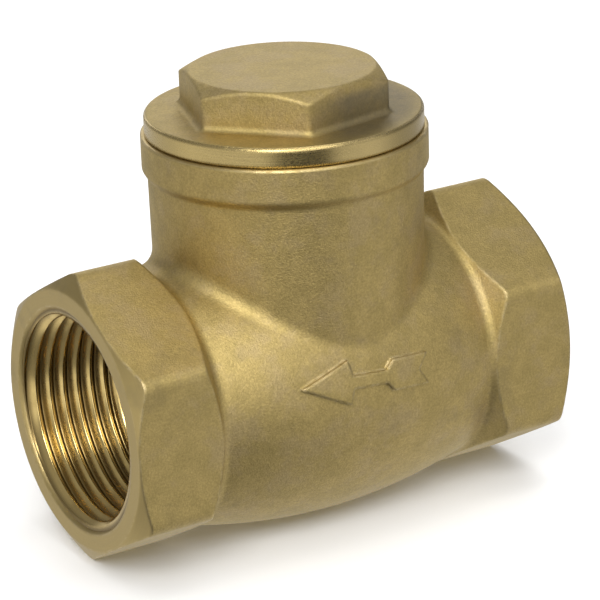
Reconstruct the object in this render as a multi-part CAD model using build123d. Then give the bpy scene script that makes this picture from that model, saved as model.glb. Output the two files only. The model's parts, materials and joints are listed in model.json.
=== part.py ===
from build123d import *
import math
import os

# A swing check valve with threaded ends, in millimetres.
# It is drawn about the point where the run axis (X) crosses the neck axis (Z).
# Water enters at +X, pushes the disc open and leaves at -X, as the raised arrow on the -Y side shows.
# Every piece is lifted by run_height when it is written, so the valve stands on z = 0.

# Run: belly and hexagon ends
run_half = 37.8            # centre to end face
belly_reach = 22.3         # radius of the belly at its fullest
belly_end_x = 23.6         # where the belly meets the shoulder cone
belly_end_reach = 19.13
shoulder_x = 26.3          # where the shoulder cone reaches the hexagon's ridges
shoulder_root_round = 1.6
end_flats = 39.5           # across flats of each hexagon end
ridge_round = 2.5
face_reach = 19.6          # circle left on the end face by its turned chamfer
face_chamfer_angle = 30.0
blank_reach = 23.5         # turned blank, larger than the hexagon's corners
hexagon_start = 22.9       # between belly and shoulder, where the run is thinner than the flats

# Neck and collar
neck_reach = 20.5
neck_root_reach = 20.1
collar_reach = 21.3
collar_start = 31.6
collar_step = 1.0          # height over which the neck widens into the collar
collar_step_round = 0.9
neck_top = 37.65
neck_rim_chamfer = 0.15
neck_root_round = 2.8

# Raised flow arrow: "along" runs from its middle to the inlet, "half" is half a width
arrow_height = 4.7
arrow_middle_x = -0.6
arrow_lean = 3.5           # the tip stands this many degrees above the tail
arrow_proud = 0.6
arrow_tip_along = -11.0
arrow_barb_along = -3.2
arrow_barb_half = 3.2
arrow_shaft_start = -2.6
arrow_shaft_end = 3.1
arrow_shaft_half = 0.9
arrow_tail_start = 4.3
arrow_tail_end = 10.6
arrow_tail_half = 2.25
arrow_notch_along = 9.0
arrow_root_reach = 18.0    # the arrow's slab starts this far from the run axis, inside the wall
arrow_slab_thick = 8.0

# Pipe threads, drawn as plain bores at their largest radius (1 inch parallel pipe thread)
thread_reach = 16.62
thread_depth = 16.3
mouth_chamfer = 0.5
outlet_throat = 15.15
inlet_passage = 14.2
inlet_passage_x = 16.5

# Chamber and seat
chamber_reach = 18.7
chamber_end_x = 13.5
seat_x = 8.0
seat_tilt = 12.0
port_reach = 10.8
seat_land_reach = 12.2
seat_height = 2.0
ledge_height = 19.5        # top of the inlet passage's roof inside the neck
wall_block = 60.0          # half size of the block that the chamber leaves standing behind the seat
port_run_in = 4.0          # how far the port's cut runs into the inlet passage

# Hinge
hinge_x = 6.0
hinge_height = 17.4
pin_reach = 1.6
pin_hole_reach = 1.65
pin_blind_end = -18.2
pin_length = 35.2
plug_thread_reach = 3.5
plug_bore_start = 17.0
plug_shank_start = 17.3
plug_boss_reach = 5.8
plug_boss_face = 21.0
plug_washer_thick = 0.5
plug_washer_inset = 0.3
plug_head_face = 22.9
plug_head_flats = 9.0
plug_slot_width = 1.2
plug_slot_depth = 0.8
plug_shank_clearance = 0.05
pin_end_chamfer = 0.4

# Neck bore and cap
neck_bore = 17.2
cap_thread_reach = 18.0
cap_thread_bottom = 29.4
gasket_seat_reach = 19.8
gasket_seat_bottom = 36.6
gasket_thick = 1.0
gasket_clearance = 0.05
gasket_side_clearance = 0.1
flange_bottom = 37.7
flange_top = 40.7
flange_reach = 20.7
flange_round = 0.5
flange_under_round = 0.2
head_flats = 28.0
head_top = 46.9
head_turn = 11.6           # the head's first corner, in degrees from +X towards +Y
head_ridge_round = 0.9
head_face_reach = 13.7
head_chamfer_angle = 30.0
head_top_round = 0.4
head_top_edges_above = 44.2
head_root_round = 1.0
spigot_bottom = 30.0
spigot_reach = 17.0        # root of the cap's thread
cap_hollow_reach = 14.6    # hollow under the flange
cap_hollow_shoulder = 38.2
cap_hollow_top_reach = 10.5
cap_hollow_top = 42.3      # hollow inside the head
cap_hollow_round = 1.5

# Hanger, measured from the hinge: "down" runs along the arm, "back" points away from the seat
hanger_barrel_reach = 3.1
hanger_barrel_half = 13.4
hanger_back = (-1.1, 2.1)
eye_reach = 5.2
stem_hole_reach = 2.56
hanger_width = 15.0
heel_length = 7.5
heel_width = 8.0
arm_root = 0.5             # length of the arm's straight root on the hinge line
arm_pin_clearance = 0.06

# Disc
holder_reach = 13.4
holder_thick = 3.4
rubber_reach = 12.5
rubber_thick = 2.6
seal_gap = 0.1
holder_gap = 0.2           # holder and washer each stand this far from the hanger's eye
stem_reach = 2.5
stem_end = 8.4
retainer_reach = 8.5
retainer_thick = 1.2
screw_head_reach = 4.0
screw_head_thick = 2.2
screw_reach = 1.5
nut_flats = 8.0
nut_thick = 3.0
washer_reach = 5.0
washer_thick = 0.8
holder_edge_chamfer = 0.4
fit_clearance = 0.05       # rubber in its cup, split pin in its hole
thread_clearance = 0.02    # screw in the stem, nut on the stem
loose_clearance = 0.1      # washers and rubber round the screw and the stem
screw_hole_depth = 3.5
screw_end = 3.2            # how far the screw reaches past the rubber's back
screw_head_round = 1.0
screw_slot_width = 1.0
screw_slot_depth = 1.0
split_pin_back = 1.2       # from the stem's end to the split pin
split_pin_reach = 0.6
split_pin_length = 5.8
split_pin_eye = 0.7
split_pin_wire = 0.35

# Working values
overlap = 0.5              # how far joined solids run into each other
beyond = 1.0               # how far a cutting solid runs past the surface it leaves

hexagon_half_angle = math.radians(30)
end_corner = end_flats / 2 / math.cos(hexagon_half_angle)
run_height = end_corner - ridge_round * (1 / math.cos(hexagon_half_angle) - 1)

# The disc's own frame at rest: origin on the hinge, local Z away from the seat, local Y across the valve
tilt = math.radians(seat_tilt)
back_axis = (-math.cos(tilt), 0, math.sin(tilt))
down_axis = (-math.sin(tilt), 0, -math.cos(tilt))
hinge_frame = Plane(origin=(hinge_x, 0, hinge_height), x_dir=down_axis, z_dir=back_axis)
seat_point = hinge_frame.to_local_coords(Vector(seat_x, 0, 0))
stem_down = seat_point.X
seat_back = seat_point.Z
rubber_face = seat_back + seal_gap
rubber_back = rubber_face + rubber_thick
holder_back = hanger_back[0] - holder_gap
washer_front = hanger_back[1] + holder_gap
nut_front = washer_front + washer_thick
stem_frame = hinge_frame * Pos(stem_down, 0, 0)


def turned(outline, axis=Axis.X):
    """A solid turned from a face drawn as (x, z)."""
    return revolve(Plane.XZ * outline, axis)


def rod(reach, start, end, frame=Plane.XY):
    """A round rod along a frame's local Z, from start to end."""
    return frame * Pos(0, 0, (start + end) / 2) * Cylinder(reach, end - start)


def ring(outer, inner, start, end, frame=Plane.XY):
    """A flat ring along a frame's local Z, from start to end."""
    return rod(outer, start, end, frame) - rod(inner, start - beyond, end + beyond, frame)


def hexagon_rod(flats, start, end, frame=Plane.XY, turn=0.0):
    """A hexagon rod along a frame's local Z, its first corner turned from local X."""
    section = RegularPolygon(flats / 2 / math.cos(hexagon_half_angle), 6, rotation=turn)
    return frame * Pos(0, 0, start) * extrude(section, end - start)


def across(y, x=hinge_x, z=hinge_height):
    """Frame on the hinge line whose local Z runs along +Y."""
    return Plane(origin=(x, y, z), x_dir=(1, 0, 0), z_dir=(0, 1, 0))


# ---------------------------------------------------------------------------- body casting

def run_blank():
    """Belly, shoulder cones and end blanks, turned about the run axis."""
    chamfer_x = run_half - (blank_reach - face_reach) * math.tan(math.radians(face_chamfer_angle))
    slope = (end_corner - belly_end_reach) / (shoulder_x - belly_end_x)
    cone_x = shoulder_x + (blank_reach - end_corner) / slope
    right = [
        (belly_end_x, belly_end_reach),
        (cone_x, blank_reach),
        (chamfer_x, blank_reach),
        (run_half, face_reach),
        (run_half, 0),
    ]
    left = [(-x, z) for x, z in reversed(right)]
    belly = ThreePointArc(left[-1], (0, belly_reach), right[0])
    section = make_face(Curve() + [belly, Polyline(*right), Polyline(right[-1], left[0]), Polyline(*left)])
    roots = section.vertices().filter_by(lambda v: abs(abs(v.X) - belly_end_x) < 0.01)
    return turned(fillet(roots, shoulder_root_round))


def hexagon_end(side):
    """Hexagon prism of one end, with worn ridges; side is 1 for the inlet and -1 for the outlet."""
    section = Plane.YZ * RegularPolygon(end_corner, 6, rotation=30)
    prism = extrude(section, side * (run_half + beyond - hexagon_start))
    prism = fillet(prism.edges().filter_by(Axis.X), ridge_round)
    return Pos(side * hexagon_start, 0, 0) * prism


def run_casting():
    """Turned blank, cut to a hexagon at both ends."""
    middle = rod(blank_reach + beyond, -hexagon_start, hexagon_start, Plane.YZ)
    return run_blank() & (middle + hexagon_end(1) + hexagon_end(-1))


def neck_casting():
    """Neck with a collar, turned about the neck axis."""
    step_bottom = collar_start - 0.1
    step_top = step_bottom + collar_step
    points = [
        (0, 0),
        (neck_root_reach, 0),
        (neck_reach, step_bottom),
        (collar_reach, step_top),
        (collar_reach, neck_top),
        (0, neck_top),
    ]
    section = make_face(Polyline(*points, close=True))
    steps = section.vertices().filter_by(lambda v: step_bottom - overlap < v.Y < step_top + overlap)
    section = fillet(steps, collar_step_round)
    rim = section.vertices().sort_by(lambda v: v.X + v.Y)[-1]
    return turned(chamfer(rim, neck_rim_chamfer), Axis.Z)


def flow_arrow():
    """Raised arrow that points to the outlet, a constant height proud of the belly."""
    points = [
        (arrow_tip_along, 0),
        (arrow_barb_along, arrow_barb_half),
        (arrow_shaft_start, arrow_shaft_half),
        (arrow_shaft_end, arrow_shaft_half),
        (arrow_tail_start, arrow_tail_half),
        (arrow_tail_end, arrow_tail_half),
        (arrow_notch_along, 0),
    ]
    mirrored = [(x, -z) for x, z in reversed(points[1:-1])]
    shape = make_face(Polyline(*points, *mirrored, close=True))
    outline = Plane.XZ * Pos(arrow_middle_x, arrow_height) * Rot(0, 0, -arrow_lean) * shape
    slab = Pos(0, -arrow_root_reach, 0) * extrude(outline, arrow_slab_thick)
    skin_reach = belly_reach + arrow_proud
    skin_end = belly_end_reach + arrow_proud
    right = (belly_end_x, skin_end)
    left = (-belly_end_x, skin_end)
    arc = ThreePointArc(left, (0, skin_reach), right)
    skin = make_face(Curve() + [arc, Polyline(right, (belly_end_x, 0), (-belly_end_x, 0), left)])
    return slab & turned(skin)


def casting():
    """Run and neck joined by a fillet, with the hinge boss and the arrow."""
    run = run_casting()
    neck = neck_casting()
    whole = run + neck
    whole = fillet(new_edges(run, neck, combined=whole), neck_root_round)
    boss = rod(plug_boss_reach, neck_bore, plug_boss_face, across(0))
    return whole + boss + flow_arrow()


# ---------------------------------------------------------------------------- body machining

def thread_bores():
    """Both end bores with their mouth chamfers."""
    depth_x = run_half - thread_depth
    points = [
        (depth_x, 0),
        (depth_x, thread_reach),
        (run_half - mouth_chamfer, thread_reach),
        (run_half + beyond, thread_reach + mouth_chamfer + beyond),
        (run_half + beyond, 0),
    ]
    bore = turned(make_face(Polyline(*points, close=True)))
    return bore + mirror(bore, Plane.YZ)


def seat_frame():
    """Frame on the middle of the seat's face, local Z away from the inlet."""
    return hinge_frame * Pos(stem_down, 0, seat_back)


def chamber():
    """Space that the disc swings in, with the seat left standing in it."""
    start_x = thread_depth - run_half
    middle_x = (start_x + chamber_end_x) / 2
    end = (chamber_end_x, outlet_throat)
    start = (start_x, outlet_throat)
    arc = ThreePointArc(start, (middle_x, chamber_reach), end)
    sides = Polyline(end, (chamber_end_x, 0), (start_x, 0), start)
    bowl = turned(make_face(Curve() + [arc, sides]))
    shaft = rod(neck_bore, 0, cap_thread_bottom)
    behind_seat = seat_frame() * Pos(0, 0, -seat_height - wall_block / 2)
    wall = behind_seat * Box(2 * wall_block, 2 * wall_block, wall_block)
    below_ledge = Pos(0, 0, ledge_height - wall_block) * Box(2 * wall_block, 2 * wall_block, 2 * wall_block)
    land = rod(seat_land_reach, -seat_height - beyond, 0, seat_frame())
    return bowl + shaft - (wall & below_ledge) - land


def inlet_way():
    """Passage behind the seat and the port through it."""
    depth_x = run_half - thread_depth
    passage = rod(inlet_passage, inlet_passage_x, depth_x, Plane.YZ)
    port_start = seat_x - inlet_passage_x - port_run_in
    return passage + rod(port_reach, port_start, beyond, seat_frame())


def neck_mouth():
    """Bore of the cap's thread and the gasket's seat above it."""
    thread = rod(cap_thread_reach, cap_thread_bottom, neck_top + beyond)
    return thread + rod(gasket_seat_reach, gasket_seat_bottom, neck_top + beyond)


def valve_body():
    """Casting with its bores, chamber, seat, neck mouth and hinge holes."""
    solid = casting() - thread_bores() - chamber() - inlet_way() - neck_mouth()
    solid -= rod(pin_hole_reach, pin_blind_end, plug_boss_face + beyond, across(0))
    solid -= rod(plug_thread_reach, plug_bore_start, plug_boss_face + beyond, across(0))
    return solid


# ---------------------------------------------------------------------------- cap

def cap_flange():
    """Round flange, its upper rim rounded more than its lower one."""
    flange = rod(flange_reach, flange_bottom, flange_top)
    lower, upper = flange.edges().filter_by(GeomType.CIRCLE).sort_by(Axis.Z)
    flange = fillet(upper, flange_round)
    lower = flange.edges().filter_by(GeomType.CIRCLE).sort_by(Axis.Z)[0]
    return fillet(lower, flange_under_round)


def cap_head():
    """Hexagon head under a turned crown, its upper edges worn."""
    head = hexagon_rod(head_flats, flange_top - overlap, head_top, Plane.XY, head_turn)
    head = fillet(head.edges().filter_by(Axis.Z), head_ridge_round)
    drop = (head_flats - head_face_reach) * math.tan(math.radians(head_chamfer_angle))
    points = [
        (0, 0),
        (head_flats, 0),
        (head_flats, head_top - drop),
        (head_face_reach, head_top),
        (0, head_top),
    ]
    head = head & turned(make_face(Polyline(*points, close=True)), Axis.Z)
    rims = [e for e in head.edges() if e.center().Z > head_top_edges_above and e.geom_type != GeomType.LINE]
    return fillet(rims, head_top_round)


def cap_hollow():
    """Hollow inside the spigot, narrower inside the head."""
    points = [
        (0, spigot_bottom - beyond),
        (cap_hollow_reach, spigot_bottom - beyond),
        (cap_hollow_reach, cap_hollow_shoulder),
        (cap_hollow_top_reach, cap_hollow_top),
        (0, cap_hollow_top),
    ]
    section = make_face(Polyline(*points, close=True))
    corner = section.vertices().filter_by(lambda v: v.X > beyond and v.Y > cap_hollow_shoulder + beyond)
    return turned(fillet(corner, cap_hollow_round), Axis.Z)


def cap():
    """Flange, head and spigot in one casting."""
    flange = cap_flange()
    head = cap_head()
    whole = flange + head
    whole = fillet(new_edges(flange, head, combined=whole), head_root_round)
    spigot = rod(spigot_reach, spigot_bottom, flange_bottom + overlap)
    return whole + spigot - cap_hollow()


def cap_gasket():
    """Flat ring in the neck's seat, under the flange."""
    bottom = gasket_seat_bottom + gasket_clearance
    outer = gasket_seat_reach - gasket_side_clearance
    inner = cap_thread_reach + gasket_side_clearance
    return ring(outer, inner, bottom, bottom + gasket_thick)


# ---------------------------------------------------------------------------- hinge

def hinge_pin():
    """Plain pin, its blind end resting in the body."""
    start = pin_blind_end + loose_clearance
    pin = rod(pin_reach, start, start + pin_length, across(0))
    return chamfer(pin.edges().filter_by(GeomType.CIRCLE), pin_end_chamfer)


def pin_plug():
    """Slotted hexagon plug that shuts the pin's hole."""
    head_start = plug_boss_face + plug_washer_thick
    plug = rod(plug_thread_reach - plug_shank_clearance, plug_shank_start, head_start + overlap, across(0))
    plug += hexagon_rod(plug_head_flats, head_start, plug_head_face, across(0))
    slot = Box(2 * plug_head_flats, plug_slot_width, plug_slot_depth)
    return plug - across(plug_head_face - plug_slot_depth / 2) * slot


def pin_plug_washer():
    """Flat ring between the boss and the plug's head."""
    outer = plug_boss_reach - plug_washer_inset
    inner = plug_thread_reach + fit_clearance
    return ring(outer, inner, plug_boss_face, plug_boss_face + plug_washer_thick, across(0))


# ---------------------------------------------------------------------------- hanger and disc

def disc_hanger():
    """Arm with a hinge barrel, an eye for the disc's stem and a heel that stops it when open."""
    front, rear = hanger_back
    eye = Pos(stem_down, 0) * Circle(eye_reach)
    root = Rectangle(arm_root, hanger_width)
    plate = make_face(make_hull([*eye.edges(), *root.edges()]))
    arm = hinge_frame * Pos(0, 0, front) * extrude(plate, rear - front)
    middle = (front + rear) / 2
    heel = hinge_frame * Pos(-heel_length / 2, 0, middle) * Box(heel_length, heel_width, rear - front)
    barrel = rod(hanger_barrel_reach, -hanger_barrel_half, hanger_barrel_half, across(0))
    whole = barrel + arm + heel
    hole_half = hanger_barrel_half + beyond
    whole -= rod(pin_reach + arm_pin_clearance, -hole_half, hole_half, across(0))
    return whole - rod(stem_hole_reach, front - beyond, rear + beyond, stem_frame)


def split_pin_frame():
    """Frame across the stem's end, local Z along Y."""
    return stem_frame * Pos(0, 0, stem_end - split_pin_back) * Rot(-90, 0, 0)


def disc_holder():
    """Cup for the rubber disc, with its stem."""
    front = holder_back - holder_thick
    cup = rod(holder_reach, front, holder_back, stem_frame)
    cup = chamfer(cup.edges().filter_by(GeomType.CIRCLE), holder_edge_chamfer)
    cup -= rod(rubber_reach + fit_clearance, front - beyond, rubber_back, stem_frame)
    cup += rod(stem_reach, holder_back - overlap, stem_end, stem_frame)
    hole_end = rubber_back + screw_hole_depth
    cup -= rod(screw_reach + thread_clearance, rubber_back - beyond, hole_end, stem_frame)
    pin_half = stem_reach + beyond
    return cup - rod(split_pin_reach + fit_clearance, -pin_half, pin_half, split_pin_frame())


def seat_disc():
    """Rubber disc that closes on the seat."""
    return ring(rubber_reach, screw_reach + loose_clearance, rubber_face, rubber_back, stem_frame)


def seat_disc_washer():
    """Flat retainer that holds the rubber in its cup."""
    front = rubber_face - retainer_thick
    return ring(retainer_reach, screw_reach + loose_clearance, front, rubber_face, stem_frame)


def seat_disc_screw():
    """Slotted round-headed screw through the retainer and the rubber."""
    head_back = rubber_face - retainer_thick
    head_front = head_back - screw_head_thick
    head = rod(screw_head_reach, head_front, head_back, stem_frame)
    rim = head.edges().filter_by(GeomType.CIRCLE).sort_by(Axis.X)[-1]
    head = fillet(rim, screw_head_round)
    shank = rod(screw_reach, head_back - overlap, rubber_back + screw_end, stem_frame)
    slot_frame = stem_frame * Pos(0, 0, head_front + screw_slot_depth / 2)
    slot = slot_frame * Box(4 * screw_head_reach, screw_slot_width, screw_slot_depth)
    return head + shank - slot


def hanger_washer():
    """Flat washer between the hanger's eye and the nut."""
    return ring(washer_reach, stem_reach + loose_clearance, washer_front, nut_front, stem_frame)


def hanger_nut():
    """Hexagon nut on the disc's stem."""
    nut_back = nut_front + nut_thick
    nut = hexagon_rod(nut_flats, nut_front, nut_back, stem_frame)
    return nut - rod(stem_reach + thread_clearance, nut_front - beyond, nut_back + beyond, stem_frame)


def split_pin():
    """Pin through the stem's end, with a round eye that lies flat over the nut."""
    half = split_pin_length / 2
    shaft = rod(split_pin_reach, -half, half, split_pin_frame())
    eye_frame = split_pin_frame() * Pos(0, 0, -half - split_pin_eye) * Rot(90, 0, 0)
    return shaft + eye_frame * Torus(split_pin_eye, split_pin_wire)


PIECES = (
    valve_body, cap, cap_gasket, hinge_pin, pin_plug, pin_plug_washer, disc_hanger, disc_holder,
    seat_disc, seat_disc_washer, seat_disc_screw, hanger_washer, hanger_nut, split_pin,
)

os.makedirs("parts", exist_ok=True)
for piece in PIECES:
    solid = Pos(0, 0, run_height) * piece()
    export_step(solid, f"parts/{piece.__name__}.step")
    print(piece.__name__, round(solid.volume, 1))

print("run height", round(run_height, 3), "hinge height", round(run_height + hinge_height, 3))
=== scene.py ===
"""Looks of a 1 inch brass swing check valve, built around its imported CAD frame.

Lengths are metres in the frame's own axes: X along the run with the inlet at +X, Z up the neck.
"""
import json
import logging
import math
from dataclasses import dataclass
from enum import Enum

import bpy
import numpy as np
from mathutils import Matrix, Vector


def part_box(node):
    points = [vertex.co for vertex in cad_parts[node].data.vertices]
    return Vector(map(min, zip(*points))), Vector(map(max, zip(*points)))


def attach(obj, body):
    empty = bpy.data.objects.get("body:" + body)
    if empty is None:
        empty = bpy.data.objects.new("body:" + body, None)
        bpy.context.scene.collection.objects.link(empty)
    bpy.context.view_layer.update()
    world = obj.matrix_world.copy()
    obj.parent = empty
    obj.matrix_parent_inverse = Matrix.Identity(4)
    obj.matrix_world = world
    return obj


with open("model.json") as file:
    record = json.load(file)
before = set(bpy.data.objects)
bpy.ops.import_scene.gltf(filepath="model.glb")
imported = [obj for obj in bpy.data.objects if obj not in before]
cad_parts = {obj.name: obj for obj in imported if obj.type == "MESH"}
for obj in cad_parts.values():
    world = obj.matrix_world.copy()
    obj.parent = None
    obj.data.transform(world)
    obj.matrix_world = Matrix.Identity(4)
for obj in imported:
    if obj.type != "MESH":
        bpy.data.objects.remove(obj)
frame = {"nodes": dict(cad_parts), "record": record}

LOG = logging.getLogger("check_valve")
MM = 0.001
QUARTER_TURN = 90.0
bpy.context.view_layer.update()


# ------------------------------------------------------------------------------ sizes from the frame

@dataclass(frozen=True)
class ValvePlan:
    """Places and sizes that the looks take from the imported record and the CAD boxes.

    Args:
        run_height: height of the run axis above the base plane.
        end_x: distance from the neck axis to an end face.
        bore: radius of the plain bores that stand for the pipe threads.
        neck_top: height of the neck's rim.
        cap_top, cap_bottom: heights of the cap's crown and of its spigot's end.
    """

    run_height: float
    end_x: float
    bore: float
    neck_top: float
    cap_top: float
    cap_bottom: float

    @classmethod
    def from_frame(cls) -> "ValvePlan":
        """Reads the plan from the outlet mount and the boxes of the body and the cap.

        Returns:
            The plan, in metres.
        """
        mounts = {m["name"]: m for m in frame["record"]["mounts"]}
        outlet = mounts["outlet_thread"]
        _, body_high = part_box("valve_body")
        cap_low, cap_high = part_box("cap")
        return cls(
            run_height=outlet["pos_m"][2],
            end_x=body_high.x,
            bore=outlet["dims"]["r_mm"] * MM,
            neck_top=body_high.z,
            cap_top=cap_high.z,
            cap_bottom=cap_low.z,
        )


# ------------------------------------------------------------------------------ shader helpers

class Channel:
    """A number socket that takes part in Python arithmetic; each operation adds one Math node."""

    def __init__(self, sheet: "Sheet", socket: bpy.types.NodeSocket) -> None:
        """Wraps a socket of a sheet's node tree."""
        self.sheet = sheet
        self.socket = socket

    def _math(self, operation: str, first: object, second: object = None) -> "Channel":
        """Adds a Math node.

        Args:
            operation: the Math node's operation.
            first, second: numbers or channels for its inputs; None leaves the second unused.

        Returns:
            The node's result.
        """
        values = {i: v for i, v in enumerate((first, second)) if v is not None}
        return self.sheet.add("ShaderNodeMath", {"operation": operation}, values)

    def __add__(self, other: object) -> "Channel":
        """self + other."""
        return self._math("ADD", self, other)

    def __radd__(self, other: object) -> "Channel":
        """other + self."""
        return self._math("ADD", other, self)

    def __sub__(self, other: object) -> "Channel":
        """self - other."""
        return self._math("SUBTRACT", self, other)

    def __rsub__(self, other: object) -> "Channel":
        """other - self."""
        return self._math("SUBTRACT", other, self)

    def __mul__(self, other: object) -> "Channel":
        """self * other."""
        return self._math("MULTIPLY", self, other)

    def __rmul__(self, other: object) -> "Channel":
        """other * self."""
        return self._math("MULTIPLY", other, self)

    def __truediv__(self, other: object) -> "Channel":
        """self / other."""
        return self._math("DIVIDE", self, other)

    def __pow__(self, other: object) -> "Channel":
        """self to the power of other."""
        return self._math("POWER", self, other)

    def __abs__(self) -> "Channel":
        """The size of self without its sign."""
        return self._math("ABSOLUTE", self)

    def angle_to(self, other: "Channel") -> "Channel":
        """Angle in radians of the point (other, self)."""
        return self._math("ARCTAN2", self, other)

    def larger(self, other: object) -> "Channel":
        """The larger of self and other."""
        return self._math("MAXIMUM", self, other)

    def rise(self, low: float, high: float) -> "Channel":
        """A smooth step from 0 at low to 1 at high; low may be the larger."""
        if low > high:
            return 1.0 - self.rise(high, low)
        return self.sheet.add("ShaderNodeMapRange", {"interpolation_type": "SMOOTHSTEP"},
                              {"Value": self, "From Min": low, "From Max": high})


class Sheet:
    """One material's node tree, with the few calls that this file builds all finishes from."""

    def __init__(self, name: str) -> None:
        """Starts an empty material with its output and its surface shader."""
        self.material = bpy.data.materials.new(name)
        self.material.use_nodes = True
        self.tree = self.material.node_tree
        self.tree.nodes.clear()
        self.output = self.tree.nodes.new("ShaderNodeOutputMaterial")
        self.shader = self.tree.nodes.new("ShaderNodeBsdfPrincipled")
        self.tree.links.new(self.shader.outputs[0], self.output.inputs["Surface"])
        self.place = self.add("ShaderNodeTexCoord", output="Object")

    def add(self, kind: str, settings: dict = None, inputs: dict = None, output: object = 0) -> Channel:
        """Adds one node.

        Args:
            kind: the node's type.
            settings: attributes set before anything else.
            inputs: socket name or number to a number, a tuple or a Channel.
            output: name or number of the output that is returned.

        Returns:
            The output, wrapped.
        """
        node = self.tree.nodes.new(kind)
        for key, value in (settings or {}).items():
            setattr(node, key, value)
        for key, value in (inputs or {}).items():
            self.feed(node.inputs[key], value)
        return Channel(self, node.outputs[output])

    def feed(self, socket: bpy.types.NodeSocket, value: object) -> None:
        """Sets a socket to a constant, or links a Channel to it."""
        if isinstance(value, Channel):
            self.tree.links.new(value.socket, socket)
        elif isinstance(value, tuple) and len(value) == 3 and len(socket.default_value) == 4:
            socket.default_value = (*value, 1.0)
        else:
            socket.default_value = value

    def axes(self, vector: Channel = None) -> tuple:
        """The three parts of a vector, which is the object's own place unless another is given."""
        source = vector or self.place
        node = self.tree.nodes.new("ShaderNodeSeparateXYZ")
        self.feed(node.inputs[0], source)
        return tuple(Channel(self, output) for output in node.outputs)

    def vector(self, x: object, y: object, z: object) -> Channel:
        """A vector from three channels or numbers."""
        return self.add("ShaderNodeCombineXYZ", inputs={"X": x, "Y": y, "Z": z})

    def noise(self, size: float, detail: float = 2.0, rough: float = 0.5, vector: Channel = None,
              warp: float = 0.0) -> Channel:
        """Noise whose features are about size across.

        Args:
            size: feature size in metres, or in the vector's own units.
            detail: octaves.
            rough: strength of the finer octaves.
            vector: where it is read; the object's own place if left out.
            warp: distortion.

        Returns:
            Values round 0.5.
        """
        return self.add("ShaderNodeTexNoise", {"noise_dimensions": "3D"},
                        {"Vector": vector or self.place, "Scale": 1.0 / size, "Detail": detail,
                         "Roughness": rough, "Distortion": warp}, "Fac")

    def mix(self, share: object, first: object, second: object) -> Channel:
        """A colour between first and second."""
        node = self.tree.nodes.new("ShaderNodeMix")
        node.data_type = "RGBA"
        node.clamp_factor = True
        factor, first_colour, second_colour, result_colour = 0, 6, 7, 2
        self.feed(node.inputs[factor], share)
        self.feed(node.inputs[first_colour], first)
        self.feed(node.inputs[second_colour], second)
        return Channel(self, node.outputs[result_colour])

    def shade(self, colour: Channel, gain: Channel) -> Channel:
        """A colour multiplied by a number that varies."""
        return self.add("ShaderNodeVectorMath", {"operation": "SCALE"}, {0: colour, "Scale": gain})

    def bump(self, height: Channel, depth: float, onto: Channel = None) -> Channel:
        """A normal tilted by a height map.

        Args:
            height: values round 0 to 1.
            depth: height in metres that a value of 1 stands for.
            onto: a normal from an earlier bump, or a rounded one.

        Returns:
            The normal.
        """
        inputs = {"Height": height, "Distance": depth, "Strength": 1.0}
        if onto is not None:
            inputs["Normal"] = onto
        return self.add("ShaderNodeBump", inputs=inputs)

    def finish(self, constants: dict, varying: dict) -> bpy.types.Material:
        """Feeds the surface shader.

        Args:
            constants: socket name to a plain value.
            varying: socket name to a Channel.

        Returns:
            The material.
        """
        for name, value in (*constants.items(), *varying.items()):
            self.feed(self.shader.inputs[name], value)
        return self.material


class SkySheet(Sheet):
    """The world's node tree, written with a material sheet's calls."""

    def __init__(self, name: str) -> None:
        """Starts a world whose place is the direction looked in."""
        self.world = bpy.data.worlds.new(name)
        self.world.use_nodes = True
        self.tree = self.world.node_tree
        self.shader = self.tree.nodes["Background"]
        self.place = self.add("ShaderNodeTexCoord", output="Generated")


# ------------------------------------------------------------------------------ finishes

def round_the(sheet: Sheet, axis: str, height: float = 0.0) -> tuple:
    """Cylinder coordinates about an axis of the valve.

    Args:
        sheet: the material's sheet.
        axis: "run" for the X axis at a height, "neck" for the Z axis.
        height: the run axis's height.

    Returns:
        (distance along the axis, distance from it, angle round it).
    """
    x, y, z = sheet.axes()
    along, first, second = (x, y, z - height) if axis == "run" else (z, x, y)
    reach = (first * first + second * second) ** 0.5
    return along, reach, second.angle_to(first)


@dataclass(frozen=True)
class TurnedMarks:
    """Fine rings that a lathe tool leaves: noise that is short across the rings and long round them.

    Args:
        spacing: distance between rings.
        stretch: length that one radian round the axis counts for.
    """

    spacing: float = 0.16 * MM
    stretch: float = 0.35 * MM

    def height(self, sheet: Sheet, along: Channel, reach: Channel, angle: Channel) -> Channel:
        """Height of the rings: noise read at (along, reach, angle times the stretch).

        Args:
            sheet: the material's sheet.
            along, reach, angle: cylinder coordinates about the axis turned round.

        Returns:
            Values round 0.5.
        """
        return sheet.noise(self.spacing, 2.0, 0.6, sheet.vector(along, reach, angle * self.stretch))


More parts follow.
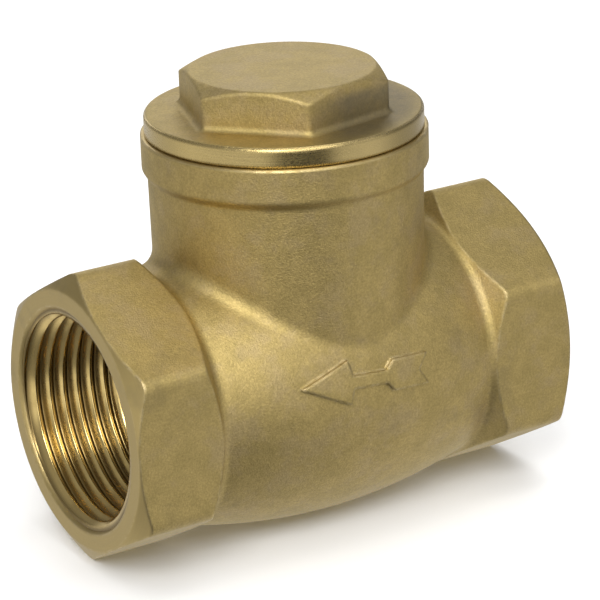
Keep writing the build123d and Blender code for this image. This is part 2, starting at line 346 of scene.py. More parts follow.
@dataclass(frozen=True)
class CastBrass:
    """Sand-cast, blasted brass whose machined stretches are turned bright.

    Args:
        name: the material's name.
        olive, straw, rose: colours that the cast skin's clouds run between.
        turned, rubbed_and_highlight, stain_and_painted_shade: colours of machined metal, of edges worn
        bright that also carry a painted highlight, and of the body's real stains and the painted shade on
        the cap.
        cast_rough, turned_rough: roughness of the cast skin and of machined metal.
        cloud_size, blush_size, speck_size: sizes of the clouds, of the rose patches and of the specks.
        speck_low, speck_span: lightness of the darkest specks, and how much lighter the lightest are.
        grain, grain_depth: size and height of the blasted grain.
        skin, skin_depth: size and height of the mould's unevenness.
        edge_round: radius that edges are shaded with.
    """

    name: str
    olive: tuple = (0.415, 0.318, 0.123)
    straw: tuple = (0.475, 0.362, 0.144)
    rose: tuple = (0.450, 0.348, 0.178)
    turned: tuple = (0.510, 0.390, 0.170)
    # edge colour: metal worn bright, also used as a painted highlight along every edge
    rubbed_and_highlight: tuple = (0.640, 0.520, 0.290)
    # dark colour: real stains on the body, and painted shade on the cap
    stain_and_painted_shade: tuple = (0.160, 0.138, 0.095)
    cast_rough: float = 0.54
    turned_rough: float = 0.42
    cloud_size: float = 3.2 * MM
    blush_size: float = 6.0 * MM
    speck_size: float = 0.34 * MM
    speck_low: float = 0.62
    speck_span: float = 0.76
    grain: float = 0.24 * MM
    grain_depth: float = 0.060 * MM
    skin: float = 1.1 * MM
    skin_depth: float = 0.032 * MM
    edge_round: float = 0.70 * MM

    def cast_colour(self, sheet: Sheet) -> Channel:
        """Clouds of olive, straw and rose, speckled at the size of the sand's grain."""
        cloud = sheet.noise(self.cloud_size, 4.0, 0.65, warp=0.3).rise(0.34, 0.68)
        blush = sheet.noise(self.blush_size, 5.0, 0.65).rise(0.46, 0.66)
        speck = sheet.noise(self.speck_size, 2.0, 0.7)
        tone = sheet.mix(cloud, self.olive, self.straw)
        tone = sheet.mix(blush * 0.6, tone, self.rose)
        return sheet.shade(tone, self.speck_low + speck * self.speck_span)

    def edge_wear_and_highlight(self, sheet: Sheet, rounded: Channel, skin: Channel) -> Channel:
        """Share of metal worn bright on edges, which also paints a highlight along them: where the rounded
        normal leaves the face's own, in patches.

        Args:
            sheet: the material's sheet.
            rounded: the normal with rounded edges.
            skin: the mould's unevenness, which breaks the bright edges into patches.

        Returns:
            The share.
        """
        flat = sheet.add("ShaderNodeNewGeometry", output="Normal")
        likeness = sheet.add("ShaderNodeVectorMath", {"operation": "DOT_PRODUCT"},
                             {0: rounded, 1: flat}, "Value")
        return (1.0 - likeness).rise(0.004, 0.10) * skin.rise(0.36, 0.62)

    def make(self, machined: "MachinedPlaces") -> bpy.types.Material:
        """Builds the material.

        Args:
            machined: says where the casting was turned.

        Returns:
            The material.
        """
        sheet = Sheet(self.name)
        bare, along, reach, angle = machined.mask(sheet)
        cast = 1.0 - bare
        rings = TurnedMarks().height(sheet, along, reach, angle)
        grain = sheet.noise(self.grain, 3.0, 0.6)
        skin = sheet.noise(self.skin, 3.0, 0.55)
        rounded = sheet.add("ShaderNodeBevel", {"samples": 6}, {"Radius": self.edge_round})
        wear_and_highlight = self.edge_wear_and_highlight(sheet, rounded, skin)
        machined_colour = sheet.shade(sheet.mix(rings, self.turned, self.straw), 0.9 + rings * 0.2)
        colour = sheet.mix(bare, self.cast_colour(sheet), machined_colour)
        # edges lightened: partly metal worn bright, partly a painted highlight
        colour = sheet.mix(wear_and_highlight * 0.75, colour, self.rubbed_and_highlight)
        # darkened patches: real stains over the body; on the cap, painted shade round one side of the head's
        # foot
        colour = sheet.mix(machined.stain_and_painted_shade(sheet) * (0.55 + skin * 0.5), colour, self.stain_and_painted_shade)
        rough = self.cast_rough + (grain - 0.5) * 0.25 - wear_and_highlight * 0.12
        rough = rough + bare * (self.turned_rough - self.cast_rough)
        normal = sheet.bump(skin * cast, self.skin_depth, rounded)
        normal = sheet.bump(grain * cast + rings * bare * 0.25, self.grain_depth, normal)
        return sheet.finish({"Metallic": 1.0, "IOR": 1.45},
                            {"Base Color": colour, "Roughness": rough, "Normal": normal})


@dataclass(frozen=True)
class MachinedPlaces:
    """Where the body casting is turned: end faces, their chamfers, the bores and the neck's rim.

    Args:
        plan: sizes from the frame.
        face_reach: radius where the flat end face turns into its chamfer.
        chamfer_fall: fall of the chamfer for each millimetre outwards.
        bore_depth: how deep the bores are turned.
        bore_wall: how far past the bore's radius metal still counts as turned.
        rim_depth: how far the turned rim reaches down the neck.
        soft: width over which turned metal gives way to cast.
        patch_size, patch_share: size and strength of the casting's faint stains.
    """

    plan: ValvePlan
    face_reach: float = 19.6 * MM
    chamfer_fall: float = math.tan(math.radians(30.0))
    bore_depth: float = 16.4 * MM
    bore_wall: float = 0.7 * MM
    rim_depth: float = 0.40 * MM
    soft: float = 0.03 * MM
    patch_size: float = 7.0 * MM
    patch_share: float = 0.22

    def mask(self, sheet: Sheet) -> tuple:
        """Share of turned surface, and the cylinder coordinates its rings follow.

        Args:
            sheet: the material's sheet.

        Returns:
            (share, along, reach, angle).
        """
        along, reach, angle = round_the(sheet, "run", self.plan.run_height)
        out = abs(along)
        cut = self.plan.end_x - (reach - self.face_reach).larger(0.0) * self.chamfer_fall
        face = (out - cut).rise(-2.5 * self.soft, -self.soft)
        deep = (out - (self.plan.end_x - self.bore_depth)).rise(-self.soft, 0.0)
        bore = deep * (reach - self.plan.bore).rise(self.bore_wall + 0.5 * MM, self.bore_wall)
        height = sheet.axes()[2]
        rim = (height - self.plan.neck_top).rise(-self.rim_depth, 0.08 * MM - self.rim_depth)
        return face.larger(bore).larger(rim), along, reach, angle

    def stain_and_painted_shade(self, sheet: Sheet) -> Channel:
        """Share of dark stain: faint patches all over the casting."""
        return sheet.noise(self.patch_size, 3.0, 0.6).rise(0.56, 0.74) * self.patch_share


@dataclass(frozen=True)
class TurnedCapPlaces:
    """Where the cap is turned: the flange's rim and all below the flange; and where shade is painted round
    one side of the head's foot.

    Args:
        flange_foot: height of the flange's underside.
        crown: height of the head's top.
        flange_reach: radius of the flange.
        rim_width: how far the turned rim reaches in over the flange's edge.
        painted_shade_side: direction, seen from above, of the side on which shade is painted round the
            head's foot.
            painted_shade_inner, painted_shade_outer: radii between which the painted shade fades out.
        painted_shade_share: strength of the painted shade.
    """

    flange_foot: float
    crown: float
    flange_reach: float = 20.7 * MM
    rim_width: float = 0.42 * MM
    painted_shade_side: tuple = (0.90, -0.44)
    painted_shade_inner: float = 17.0 * MM
    painted_shade_outer: float = 22.5 * MM
    painted_shade_share: float = 0.85

    def mask(self, sheet: Sheet) -> tuple:
        """Share of turned surface, and the cylinder coordinates its rings follow.

        Args:
            sheet: the material's sheet.

        Returns:
            (share, along, reach, angle).
        """
        along, reach, angle = round_the(sheet, "neck")
        rim = (reach - self.flange_reach).rise(-self.rim_width, 0.12 * MM - self.rim_width)
        below = (along - self.flange_foot).rise(0.06 * MM, 0.0)
        return rim.larger(below), along, reach, angle

    def stain_and_painted_shade(self, sheet: Sheet) -> Channel:
        """Share of painted shade: the head's lower faces and the flange top beside them darkened on one side
        of the head's foot, fading up the head.
        """
        x, y, z = sheet.axes()
        side = (x * self.painted_shade_side[0] + y * self.painted_shade_side[1]).rise(1.0 * MM, 9.0 * MM)
        low = z.rise(self.crown - 0.6 * MM, self.crown - 2.6 * MM)
        near = (x * x + y * y).rise(self.painted_shade_outer ** 2, self.painted_shade_inner ** 2)
        return side * low * near * self.painted_shade_share


@dataclass(frozen=True)
class TurnedBrass:
    """Bright turned or tapped brass.

    Args:
        name: the material's name.
        bright, deep, grime: clean metal, tarnished metal and the dark film in a thread's roots.
        rough: the clean metal's roughness.
        axis, height: the axis that the tool marks go round, as round_the takes them.
        crest, root: a thread's crest and root radii, or None on a plain turned piece.
        tarnish_size: size of the tarnished patches.
        mark_depth: height of the tool marks.
    """

    name: str
    bright: tuple = (0.700, 0.525, 0.210)
    deep: tuple = (0.430, 0.300, 0.105)
    grime: tuple = (0.120, 0.080, 0.030)
    rough: float = 0.20
    axis: str = "run"
    height: float = 0.0
    crest: float | None = None
    root: float | None = None
    tarnish_size: float = 3.0 * MM
    mark_depth: float = 0.006 * MM

    def make(self) -> bpy.types.Material:
        """Rings of tool marks, a thin tarnish in patches, and in a thread a dark film in the roots."""
        sheet = Sheet(self.name)
        along, reach, angle = round_the(sheet, self.axis, self.height)
        rings = TurnedMarks(0.11 * MM, 0.5 * MM).height(sheet, along, reach, angle)
        tarnish = sheet.noise(self.tarnish_size, 3.0, 0.55).rise(0.42, 0.70)
        colour = sheet.mix(tarnish * 0.35, self.bright, self.deep)
        colour = sheet.shade(colour, 0.92 + rings * 0.16)
        rough = self.rough + tarnish * 0.06 + (rings - 0.5) * 0.10
        if self.root is not None:
            film = ((reach - self.crest) / (self.root - self.crest)).rise(0.35, 0.95)
            colour = sheet.mix(film * 0.80, colour, self.grime)
            rough = rough + film * 0.10
        normal = sheet.bump(rings, self.mark_depth)
        return sheet.finish({"Metallic": 1.0}, {"Base Color": colour, "Roughness": rough, "Normal": normal})


@dataclass(frozen=True)
class DrawnSteel:
    """Drawn stainless wire and screws: fine scratches along Y over a grey metal.

    Args:
        name: the material's name.
        pale, dark: colours of the passivated skin's clouds.
        scratch_size, scratch_depth, scratch_stretch: width and height of the scratches, and width to length.
        cloud_size: size of the clouds.
        rough: roughness of the smoothest metal.
    """

    name: str = "drawn_steel"
    pale: tuple = (0.620, 0.610, 0.590)
    dark: tuple = (0.430, 0.425, 0.415)
    scratch_size: float = 0.10 * MM
    scratch_depth: float = 0.006 * MM
    scratch_stretch: float = 0.06
    cloud_size: float = 1.6 * MM
    rough: float = 0.24

    def make(self) -> bpy.types.Material:
        """Stretched noise gives the scratches, and plain noise the cloudy passivated skin."""
        sheet = Sheet(self.name)
        x, y, z = sheet.axes()
        scratch = sheet.noise(self.scratch_size, 2.0, 0.6, sheet.vector(x, y * self.scratch_stretch, z))
        cloud = sheet.noise(self.cloud_size, 3.0, 0.55)
        return sheet.finish({"Metallic": 1.0}, {
            "Base Color": sheet.mix(cloud, self.pale, self.dark),
            "Roughness": self.rough + scratch * 0.18,
            "Normal": sheet.bump(scratch, self.scratch_depth)})


@dataclass(frozen=True)
class Nitrile:
    """Moulded black nitrile rubber with a faint bloom.

    Args:
        name: the material's name.
        black, bloom: colours of clean rubber and of the bloom on it.
        bloom_size: size of the bloom's patches.
        pebble_size, pebble_depth: size and height of the mould skin's pebbles.
        rough: roughness of clean rubber.
    """

    name: str = "nitrile"
    black: tuple = (0.014, 0.014, 0.015)
    bloom: tuple = (0.050, 0.049, 0.047)
    bloom_size: float = 3.0 * MM
    pebble_size: float = 0.22 * MM
    pebble_depth: float = 0.02 * MM
    rough: float = 0.52

    def make(self) -> bpy.types.Material:
        """Patches of bloom over a pebbled mould skin."""
        sheet = Sheet(self.name)
        cloud = sheet.noise(self.bloom_size, 4.0, 0.6).rise(0.45, 0.7)
        pebble = sheet.noise(self.pebble_size, 2.0, 0.5)
        return sheet.finish({"Metallic": 0.0}, {
            "Base Color": sheet.mix(cloud * 0.8, self.black, self.bloom),
            "Roughness": self.rough + pebble * 0.2 + cloud * 0.1,
            "Normal": sheet.bump(pebble, self.pebble_depth)})


@dataclass(frozen=True)
class CutSheet:
    """Sealing sheet cut to a ring: pale fluoropolymer or pressed fibre.

    Args:
        name: the material's name.
        ground, fleck: colours of the sheet and of its flecks.
        fleck_size, fleck_depth: width and height of a fleck.
        rough: roughness of the sheet between flecks.
        dull_size: size of the faint unevenness.
    """

    name: str
    ground: tuple
    fleck: tuple
    fleck_size: float
    rough: float
    fleck_depth: float = 0.01 * MM
    dull_size: float = 2.5 * MM

    def make(self) -> bpy.types.Material:
        """Flecks longer than they are wide lie in the sheet's plane, over a faint unevenness."""
        sheet = Sheet(self.name)
        x, y, z = sheet.axes()
        fleck = sheet.noise(self.fleck_size, 3.0, 0.6, sheet.vector(x * 0.35, y, z), 0.8).rise(0.5, 0.62)
        dull = sheet.noise(self.dull_size, 2.0)
        return sheet.finish({"Metallic": 0.0}, {
            "Base Color": sheet.shade(sheet.mix(fleck, self.ground, self.fleck), 0.85 + dull * 0.3),
            "Roughness": self.rough + fleck * 0.12,
            "Normal": sheet.bump(fleck, self.fleck_depth)})


@dataclass(frozen=True)
class ArmBrass:
    """Small cast brass part, blasted and tumbled, more golden than the big castings.

    Args:
        name: the material's name.
        gold, brown: colours of clean metal and of its brown patches.
        grain_size, grain_depth: size and height of the blasted grain.
        patch_size: size of the patches.
        edge_round: radius that edges are shaded with.
        rough: roughness of the smoothest metal.
    """

    name: str = "arm_brass"
    gold: tuple = (0.560, 0.420, 0.180)
    brown: tuple = (0.330, 0.230, 0.095)
    grain_size: float = 0.24 * MM
    grain_depth: float = 0.03 * MM
    patch_size: float = 3.5 * MM
    edge_round: float = 0.3 * MM
    rough: float = 0.42

    def make(self) -> bpy.types.Material:
        """Blasted grain, tumbled edges and brown patches."""
        sheet = Sheet(self.name)
        grain = sheet.noise(self.grain_size, 3.0, 0.6)
        patch = sheet.noise(self.patch_size, 4.0, 0.6).rise(0.42, 0.66)
        rounded = sheet.add("ShaderNodeBevel", {"samples": 4}, {"Radius": self.edge_round})
        colour = sheet.shade(sheet.mix(patch, self.gold, self.brown), 0.8 + grain * 0.4)
        return sheet.finish({"Metallic": 1.0}, {
            "Base Color": colour,
            "Roughness": self.rough + grain * 0.2,
            "Normal": sheet.bump(grain, self.grain_depth, rounded)})


# ------------------------------------------------------------------------------ threads

class ThreadSide(Enum):
    """Whether a thread is cut inside a hole or outside a spigot."""

    INSIDE = "inside"
    OUTSIDE = "outside"


@dataclass(frozen=True)
class ThreadForm:
    """A rounded V thread.

    Args:
        pitch: distance between turns.
        major: largest radius.
        minor: smallest radius.
        sharpness: full V height over cut depth; the cut off tips are rounded.
        rounding: how softly they are rounded, as a share of the cut depth.
    """

    pitch: float
    major: float
    minor: float
    sharpness: float = 1.12
    rounding: float = 0.24

    def fullness(self, turns: np.ndarray) -> np.ndarray:
        """Share of the depth, 0 at the minor radius and 1 at the major radius.

        A triangle wave of the phase, stretched past 0 and 1 and held back to them by smooth limits, which
        round the crests and the roots.

        Args:
            turns: phase in turns.

        Returns:
            The share at each phase.
        """
        wave = np.abs(2.0 * (turns - np.floor(turns)) - 1.0)
        raised = (wave - 0.5) * self.sharpness + 0.5
        return 1.0 - smooth_floor(1.0 - smooth_floor(raised, self.rounding), self.rounding)

    def reach(self, turns: np.ndarray) -> np.ndarray:
        """Radius at each phase in turns."""
        return self.minor + (self.major - self.minor) * self.fullness(turns)


def smooth_floor(values: np.ndarray, width: float) -> np.ndarray:
    """Values held above 0, with the corner rounded over a width: (v + sqrt(v squared + width squared)) / 2.

    Args:
        values: any numbers.
        width: width of the rounded corner.

    Returns:
        The values, held.
    """
    return 0.5 * (values + np.sqrt(values * values + width * width))


def closed_grid(name: str, rows: np.ndarray) -> bpy.types.Object:
    """A watertight mesh from a grid of points that closes on itself both ways.

    Args:
        name: the object's name.
        rows: array of shape (around, along, 3); the last row joins the first, and so does the last column.

    Returns:
        The object, its faces pointing outwards, linked to the scene.
    """
    around, along, _ = rows.shape
    number = np.arange(around * along).reshape(around, along)
    quads = np.stack([number, np.roll(number, -1, 0), np.roll(np.roll(number, -1, 0), -1, 1),
                      np.roll(number, -1, 1)], axis=-1).reshape(-1, 4)
    points = rows.reshape(-1, 3)
    corners = points[quads]
    volume = np.einsum("ij,ij->i", corners[:, 0], np.cross(corners[:, 1], corners[:, 2])).sum()
    volume += np.einsum("ij,ij->i", corners[:, 0], np.cross(corners[:, 2], corners[:, 3])).sum()
    if volume < 0:
        quads = quads[:, ::-1]
    mesh = bpy.data.meshes.new(name)
    mesh.from_pydata(points.tolist(), [], quads.tolist())
    mesh.polygons.foreach_set("use_smooth", np.ones(len(quads), dtype=bool))
    mesh.update()
    piece = bpy.data.objects.new(name, mesh)
    bpy.context.scene.collection.objects.link(piece)
    return piece


@dataclass
class ScrewSleeve:
    """A thin threaded sleeve that lies on a plain CAD cylinder and carries the real thread.

    Args:
        name: piece name.
        form: the thread's form.
        side: inside or outside.
        start: place along the axis where the mouth is.
        end: place along the axis where the thread runs out.
        back: radius of the sleeve's hidden side.
        mouth: reach of the mouth's chamfer cone at start.
        run_out: length over which the thread fades at the end.
        mouth_slope: steepness of an inside sleeve's mouth cone.
        samples_per_turn, around: grid rows along each pitch and round the axis.
    """

    name: str
    form: ThreadForm
    side: ThreadSide
    start: float
    end: float
    back: float
    mouth: float
    run_out: float = 2.4 * MM
    mouth_slope: float = 4.5
    samples_per_turn: int = 22
    around: int = 168

    def reach(self, along: np.ndarray, angle: np.ndarray) -> np.ndarray:
        """Radius of the threaded face.

        The thread's own radius at the phase (along / pitch - angle / one turn), faded to its minor radius
        near the end, and cut by a cone at the mouth.

        Args:
            along: places along the axis.
            angle: angles round it.

        Returns:
            The radius at each pair.
        """
        turns = along / self.form.pitch - angle / (2.0 * math.pi)
        left = np.clip(np.abs(self.end - along) / self.run_out, 0.0, 1.0)
        ease = left * left * (3.0 - 2.0 * left)
        radius = self.form.minor + (self.form.reach(turns) - self.form.minor) * ease
        depth = np.abs(along - self.start)
        if self.side is ThreadSide.INSIDE:
            return np.maximum(radius, self.mouth - depth * self.mouth_slope)
        return np.minimum(radius, self.mouth + depth)

    def points(self) -> np.ndarray:
        """Outline of the sleeve at each angle: the threaded face, then the plain back the other way.

        Returns:
            Array of shape (around, outline, 3), whose points are (along, reach, angle).
        """
        count = int(abs(self.end - self.start) / self.form.pitch * self.samples_per_turn)
        along = np.linspace(self.start, self.end, count)
        angle = np.arange(self.around) * (2.0 * math.pi / self.around)
        grid_along, grid_angle = np.meshgrid(along, angle)
        front = np.stack([grid_along, self.reach(grid_along, grid_angle), grid_angle], axis=-1)
        back_along, back_angle = np.meshgrid(np.array([self.end, self.start]), angle)
        back = np.stack([back_along, np.full_like(back_along, self.back), back_angle], axis=-1)
        return np.concatenate([front, back], axis=1)

    def build(self, axis: str, height: float = 0.0) -> bpy.types.Object:
        """Makes the sleeve.

        Args:
            axis: "run" for the X axis at a height, "neck" for the Z axis.
            height: the run axis's height.

        Returns:
            The piece.
        """
        along, reach, angle = np.moveaxis(self.points(), -1, 0)
        across, aside = reach * np.cos(angle), reach * np.sin(angle)
        parts = (along, across, aside + height) if axis == "run" else (across, aside, along)
        return closed_grid(self.name, np.stack(parts, axis=-1))


# ------------------------------------------------------------------------------ sub-assemblies

def dress(node: str, material: bpy.types.Material) -> None:
    """Gives a CAD node one material in every slot.

    Args:
        node: the CAD node's name.
        material: its finish.
    """
    slots = frame["nodes"][node].data.materials
    for index in range(len(slots)):
        slots[index] = material
    LOG.info("dressed %s in %s", node, material.name)


def settle(piece: bpy.types.Object, body: str, material: bpy.types.Material) -> bpy.types.Object:
    """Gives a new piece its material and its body.

    Args:
        piece: the new piece.
        body: CAD body that it rides on.
        material: its finish.

    Returns:
        The piece.
    """
    piece.data.materials.append(material)
    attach(piece, body)
    LOG.info("made %s: %d faces, on %s", piece.name, len(piece.data.polygons), body)
    return piece


@dataclass
class BodyCasting:
    """The cast body with the threads tapped in its ends and its neck.

    Args:
        plan: sizes from the frame.
        pipe: the pipe thread, 11 turns an inch.
        thread_depth: length of full and fading thread in each end.
        mouth_chamfer: size of the chamfer at each mouth.
        end_gap: how far the thread stops short of the bore's bottom.
        skin: how far the sleeve's hidden side stands off the CAD bore.
    """

    plan: ValvePlan
    pipe: ThreadForm = ThreadForm(pitch=2.309 * MM, major=16.61 * MM, minor=15.16 * MM)
    thread_depth: float = 16.3 * MM
    mouth_chamfer: float = 0.5 * MM
    end_gap: float = 0.05 * MM
    skin: float = 0.004 * MM

    def end_thread(self, name: str, side: int) -> bpy.types.Object:
        """Thread of one end.

        Args:
            name: piece name.
            side: -1 for the outlet, 1 for the inlet.

        Returns:
            The piece.
        """
        sleeve = ScrewSleeve(
            name=name, form=self.pipe, side=ThreadSide.INSIDE,
            start=side * (self.plan.end_x - self.mouth_chamfer),
            end=side * (self.plan.end_x - self.thread_depth + self.end_gap),
            back=self.plan.bore - self.skin, mouth=self.plan.bore - 2 * self.skin)
        return sleeve.build("run", self.plan.run_height)

    def build(self) -> None:
        """Dresses the casting and makes its end threads."""
        dress("valve_body", CastBrass("cast_brass_body").make(MachinedPlaces(self.plan)))
        tapped = TurnedBrass("tapped_brass", axis="run", height=self.plan.run_height,
                             crest=self.pipe.minor, root=self.pipe.major).make()
        for name, side in (("outlet_pipe_thread", -1), ("inlet_pipe_thread", 1)):
            settle(self.end_thread(name, side), "valve_body", tapped)


@dataclass
class CapGroup:
    """The screwed cap, its gasket and the thread between the cap and the neck.

    Args:
        plan: sizes from the frame.
        pitch: rise in one turn, as the cap's joints have it.
        neck_major: radius of the neck's plain bore.
        spigot: radius of the cap's plain spigot.
        gasket_depth: depth of the gasket's seat below the neck's rim.
        neck_length, spigot_length: lengths of the female and the male thread.
        neck_run_out, spigot_run_out: lengths over which they fade.
        neck_play, spigot_play: how far each thread's crests stay from the other's plain cylinder.
        spigot_root: how far the male thread's roots stand off the plain spigot.
        mouth_gap: how far each thread starts from its mouth.
        rim_gap: height of the flange's underside over the neck's rim.
        skin: how far a sleeve's hidden side stands off its CAD cylinder.
        samples_per_turn, around: grid rows along each pitch and round the axis.
    """

    plan: ValvePlan
    pitch: float = 1.5 * MM
    neck_major: float = 18.0 * MM
    spigot: float = 17.0 * MM
    gasket_depth: float = 1.05 * MM
    neck_length: float = 7.2 * MM
    spigot_length: float = 6.6 * MM
    neck_run_out: float = 0.9 * MM
    spigot_run_out: float = 1.6 * MM
    neck_play: float = 0.09 * MM
    spigot_play: float = 0.10 * MM
    spigot_root: float = 0.03 * MM
    mouth_gap: float = 0.02 * MM
    rim_gap: float = 0.1 * MM
    skin: float = 0.004 * MM
    samples_per_turn: int = 16
    around: int = 144

    def neck_thread(self) -> bpy.types.Object:
        """Female thread of the neck, from the gasket's seat down."""
        seat = self.plan.neck_top - self.gasket_depth
        form = ThreadForm(self.pitch, self.neck_major - self.skin, self.spigot + self.neck_play)
        return ScrewSleeve(
            name="neck_cap_thread", form=form, side=ThreadSide.INSIDE,
            start=seat - self.mouth_gap, end=seat - self.neck_length,
            back=self.neck_major - self.skin / 2, mouth=self.neck_major - 2 * self.skin,
            run_out=self.neck_run_out, samples_per_turn=self.samples_per_turn,
            around=self.around).build("neck")

    def spigot_thread(self) -> bpy.types.Object:
        """Male thread of the cap, which fades under the flange."""
        foot = self.plan.cap_bottom
        form = ThreadForm(self.pitch, self.neck_major - self.spigot_play, self.spigot + self.spigot_root)
        return ScrewSleeve(
            name="cap_spigot_thread", form=form, side=ThreadSide.OUTSIDE,
            start=foot + self.mouth_gap, end=foot + self.spigot_length,
            back=self.spigot + self.skin, mouth=self.spigot + self.spigot_play,
            run_out=self.spigot_run_out, samples_per_turn=self.samples_per_turn,
            around=self.around).build("neck")

    def build(self) -> None:
        """Dresses the cap and the gasket and makes both threads."""
        # the cap's places also give the painted shade round one side of the head's foot
        places = TurnedCapPlaces(flange_foot=self.plan.neck_top + self.rim_gap, crown=self.plan.cap_top)
        finish = CastBrass("cast_brass_cap", turned_rough=0.28, turned=(0.560, 0.430, 0.190))
        dress("cap", finish.make(places))
        gasket = CutSheet("pale_fluoropolymer", ground=(0.74, 0.73, 0.69), fleck=(0.66, 0.65, 0.60),
                          fleck_size=0.6 * MM, rough=0.42)
        dress("cap_gasket", gasket.make())
        cut = TurnedBrass("cut_brass", axis="neck").make()
        settle(self.neck_thread(), "valve_body", cut)
        settle(self.spigot_thread(), "cap", cut)


@dataclass
class DiscGroup:
    """Everything that swings or carries the swing: pin, plug, hanger and disc.

    Args:
        brass_nodes, steel_nodes: CAD nodes in turned brass and in drawn steel.
    """

    brass_nodes: tuple = ("disc_holder", "seat_disc_washer", "hanger_washer", "hanger_nut", "pin_plug")
    steel_nodes: tuple = ("hinge_pin", "seat_disc_screw", "split_pin")

    def build(self) -> None:
        """Dresses each node in its finish."""
        brass = TurnedBrass("turned_brass", axis="run", rough=0.30).make()
        for node in self.brass_nodes:
            dress(node, brass)
        steel = DrawnSteel().make()
        for node in self.steel_nodes:
            dress(node, steel)
        dress("disc_hanger", ArmBrass().make())
        dress("seat_disc", Nitrile().make())
        fibre = CutSheet("red_fibre", ground=(0.205, 0.045, 0.030), fleck=(0.330, 0.110, 0.070),
                         fleck_size=0.25 * MM, rough=0.62)
        dress("pin_plug_washer", fibre.make())


@dataclass(frozen=True)
class SoftBox:
    """One rectangular studio light.

    Args:
        name: its name.
        place: where it stands, in metres.
        size: width and height.
        power: watts.
        mirrored: whether it shows in metal; if not, it only lights the floor and what isn't metal.
    """

    name: str
    place: tuple
    size: tuple
    power: float
    mirrored: bool = True

    def build(self, aim: Vector) -> None:
        """Makes the light.

        Args:
            aim: the point that it faces.
        """
        data = bpy.data.lights.new(self.name, "AREA")
        data.shape = "RECTANGLE"
        data.size, data.size_y = self.size
        data.energy = self.power
        light = bpy.data.objects.new(self.name, data)
        light.location = self.place
        light.visible_glossy = self.mirrored
        light.rotation_euler = (aim - light.location).to_track_quat("-Z", "Y").to_euler()
        bpy.context.scene.collection.objects.link(light)


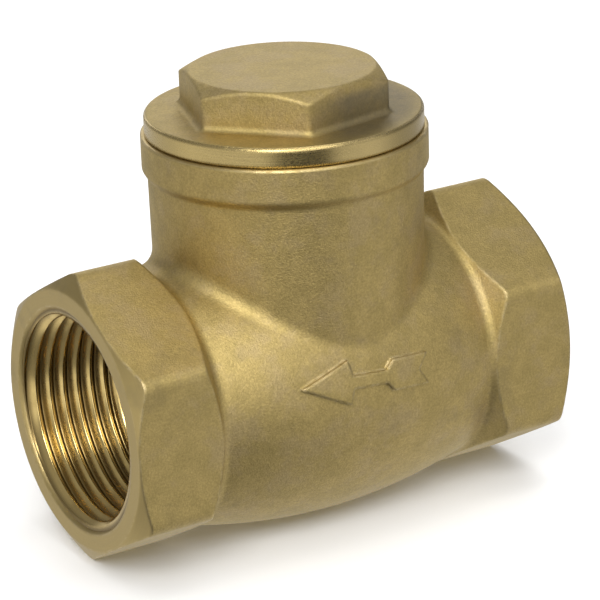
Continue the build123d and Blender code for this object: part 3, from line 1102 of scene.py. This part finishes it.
@dataclass
class Studio:
    """Pale floor, soft lights, a world that the metal mirrors, and the camera.

    Args:
        plan: sizes from the frame.
        stand_off: distance from the crossing of the axes to the camera.
        from_azimuth, from_elevation: direction of the camera from that crossing, in degrees.
        look_azimuth, look_elevation: direction that the camera's back points to.
        roll: turn of the camera about its own axis, in degrees.
        lens: focal length in the camera's own millimetres.
        floor_half, floor_mottle: half the floor's side and the size of its mottle, in metres.
        sky_tint: the world's colour.
        sky_low, sky_high: its strength below and above the horizon.
        sky_card: strength that the white card adds.
        sky_gap, sky_near_fall: shares taken off in the gap beside the card and on the near floor.
        sky_right_fall, sky_back_fall: shares taken off on the right and at the back.
        card_azimuth, gap_azimuth, near_azimuth: directions of the card, the gap and the near floor.
        boxes: the lights.
    """

    plan: ValvePlan
    stand_off: float = 455.6 * MM
    from_azimuth: float = -31.413
    from_elevation: float = 21.418
    look_azimuth: float = -31.611
    look_elevation: float = 20.198
    roll: float = -1.932
    lens: float = 180.0
    floor_half: float = 3.0
    floor_mottle: float = 0.02
    sky_tint: tuple = (1.0, 0.995, 0.990)
    sky_low: float = 1.00
    sky_high: float = 0.36
    sky_card: float = 1.40
    sky_gap: float = 0.95
    sky_near_fall: float = 0.75
    sky_right_fall: float = 0.50
    sky_back_fall: float = 0.30
    card_azimuth: float = -30.0
    gap_azimuth: float = -17.0
    near_azimuth: float = -42.0
    boxes: tuple = (
        SoftBox("key_light", (-0.50, -0.55, 0.60), (0.40, 0.40), 4.8),
        SoftBox("front_light", (0.0, -0.70, 0.65), (0.40, 0.40), 2.1),
        SoftBox("right_light", (0.55, -0.55, 0.55), (0.40, 0.40), 0.5),
        SoftBox("over_light", (0.16, -0.02, 0.85), (0.45, 0.40), 1.0),
        SoftBox("back_light", (0.35, 0.80, 0.45), (0.80, 0.40), 1.75),
        SoftBox("floor_light", (0.0, 0.0, 2.0), (2.5, 2.5), 22.0, mirrored=False),
    )

    @staticmethod
    def direction(azimuth: float, elevation: float) -> Vector:
        """Unit vector towards a viewer.

        Args:
            azimuth: degrees round Z; a viewer at 0 looks along +Y, with +X to the right.
            elevation: degrees above the horizon.

        Returns:
            The vector.
        """
        a, e = math.radians(azimuth), math.radians(elevation)
        return Vector((math.sin(a) * math.cos(e), -math.cos(a) * math.cos(e), math.sin(e)))

    def toward(self, x: Channel, y: Channel, azimuth: float) -> Channel:
        """Part of a horizontal vector that points to an azimuth.

        Args:
            x, y: the vector.
            azimuth: the direction, in degrees.

        Returns:
            The part.
        """
        side = self.direction(azimuth, 0.0)
        return x * side.x + y * side.y

    def camera(self) -> None:
        """Stands the camera off along one direction and looks back along another, with its roll."""
        back = self.direction(self.look_azimuth, self.look_elevation)
        level = self.direction(self.look_azimuth + QUARTER_TURN, 0.0)
        upright = back.cross(level)
        turn = math.radians(self.roll)
        right = level * math.cos(turn) + upright * math.sin(turn)
        up = upright * math.cos(turn) - level * math.sin(turn)
        aim = Vector((0.0, 0.0, self.plan.run_height))
        data = bpy.data.cameras.new("camera")
        data.lens = self.lens
        data.clip_start, data.clip_end = 0.05, 10.0
        camera = bpy.data.objects.new("camera", data)
        stand = aim + self.direction(self.from_azimuth, self.from_elevation) * self.stand_off
        camera.matrix_world = Matrix.Translation(stand) @ Matrix((right, up, back)).transposed().to_4x4()
        bpy.context.scene.collection.objects.link(camera)
        bpy.context.scene.camera = camera

    def floor(self) -> None:
        """A large square at the base plane with a faint mottle."""
        half = self.floor_half
        mesh = bpy.data.meshes.new("floor")
        corners = [(-half, -half, 0.0), (half, -half, 0.0), (half, half, 0.0), (-half, half, 0.0)]
        mesh.from_pydata(corners, [], [(0, 1, 2, 3)])
        sheet = Sheet("pale_floor")
        mottle = sheet.noise(self.floor_mottle, 2.0)
        mesh.materials.append(sheet.finish({"Roughness": 0.7}, {
            "Base Color": sheet.mix(mottle, (0.93, 0.93, 0.93), (0.96, 0.96, 0.96))}))
        floor = bpy.data.objects.new("floor", mesh)
        floor.visible_glossy = False
        bpy.context.scene.collection.objects.link(floor)

    def sky(self) -> None:
        """A world like a tent round a lit table, since the floor itself isn't mirrored in the metal.

        Its strength is low below the horizon and high above it. A white card stands at the front left from
        the horizon up, beside the dark gap where the camera stands, and the near floor under both is dim. A
        share is taken off on the right and at the back.
        """
        sheet = SkySheet("studio")
        x, y, level = sheet.axes()
        flat = (x * x + y * y) ** 0.5
        card = (self.toward(x, y, self.card_azimuth) / flat).rise(0.93, 0.98)
        card = card * level.rise(-0.08, -0.02) * level.rise(0.68, 0.56)
        gap = (self.toward(x, y, self.gap_azimuth) / flat).rise(0.87, 0.95)
        gap = gap * level.rise(-0.03, -0.09)
        near = (self.toward(x, y, self.near_azimuth) / flat).rise(0.00, 0.60)
        near = near * level.rise(-0.36, -0.44)
        strength = self.sky_low + level.rise(-0.05, 0.15) * (self.sky_high - self.sky_low)
        strength = strength + card * self.sky_card
        strength = strength * (1.0 - gap * self.sky_gap)
        strength = strength * (1.0 - near * self.sky_near_fall)
        strength = strength * (1.0 - x.rise(0.68, 0.97) * self.sky_right_fall)
        strength = strength * (1.0 - y.rise(0.30, 0.80) * self.sky_back_fall)
        sheet.feed(sheet.shader.inputs["Color"], self.sky_tint)
        sheet.feed(sheet.shader.inputs["Strength"], strength)
        bpy.context.scene.world = sheet.world

    def build(self) -> None:
        """Makes the sky, the floor, the lights and the camera."""
        bpy.context.scene.view_settings.view_transform = "Standard"
        self.sky()
        self.floor()
        for box in self.boxes:
            box.build(Vector((0.0, 0.0, self.plan.run_height)))
        self.camera()


def main() -> None:
    """Builds the looks in order: studio, body, cap, disc."""
    logging.basicConfig(level=logging.INFO, format="%(name)s: %(message)s")
    plan = ValvePlan.from_frame()
    for part in (Studio(plan), BodyCasting(plan), CapGroup(plan), DiscGroup()):
        part.build()
        LOG.info("built %s", type(part).__name__)


if __name__ == "__main__":
    main()
